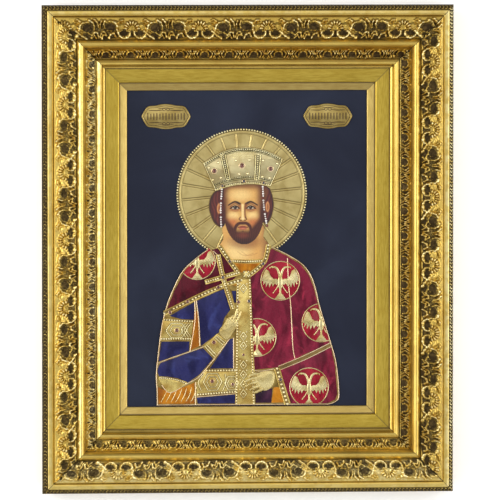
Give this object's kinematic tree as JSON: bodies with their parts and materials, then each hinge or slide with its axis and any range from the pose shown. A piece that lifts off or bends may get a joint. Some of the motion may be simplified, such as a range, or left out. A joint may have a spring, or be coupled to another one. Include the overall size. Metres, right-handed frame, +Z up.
{
  "type": "framed icon panel",
  "caption": "Wall-hung icon panel: relief figure of a crowned saint with a radiate halo and set stones on a dark board, in a carved gilt frame with liner and slip.",
  "frame": {"origin": "centre of the hanging patch on the flat back of the top rail", "axes": "+Z up the picture, +Y into the wall, the picture faces -Y"},
  "size_m": [0.514, 0.0466, 0.609],
  "materials": {
    "frame_gilt": "gilded carved moulding with a dark antique wash",
    "liner_gilt": "flat gilt leaf liner",
    "slip_champagne": "champagne leaf slip",
    "board_blue": "dark blue painted board",
    "relief_gold": "pale gold-plated relief with enamel",
    "stone_red": "polished red stone",
    "stone_dark": "polished dark stone"
  },
  "bodies": {
    "root": {"frame_rail_top": "frame_gilt", "liner_top": "liner_gilt", "slip_top": "slip_champagne", "frame_rail_bottom": "frame_gilt", "liner_bottom": "liner_gilt", "slip_bottom": "slip_champagne", "frame_rail_left": "frame_gilt", "liner_left": "liner_gilt", "slip_left": "slip_champagne", "frame_rail_right": "frame_gilt", "liner_right": "liner_gilt", "slip_right": "slip_champagne", "icon_board": "board_blue", "halo": "relief_gold", "saint_figure": "relief_gold", "nameplate_left": "relief_gold", "nameplate_right": "relief_gold", "stone_crown_left": "stone_red", "stone_crown_middle": "stone_red", "stone_crown_right": "stone_red", "stone_crown_band_left": "stone_dark", "stone_crown_band_middle": "stone_dark", "stone_crown_band_right": "stone_dark", "stone_collar_left": "stone_dark", "stone_collar_right": "stone_dark", "stone_hem_inner": "stone_red", "stone_hem_middle": "stone_red", "stone_hem_outer": "stone_red", "stone_cross": "stone_dark", "stone_central_band_right": "stone_dark", "stone_central_band_left": "stone_red", "stone_central_band_low": "stone_red", "stone_arm_band": "stone_red", "stone_cuff": "stone_red", "stone_belt_left": "stone_red", "stone_belt_right": "stone_red", "stone_sleeve": "stone_dark"}
  },
  "joints": []
}
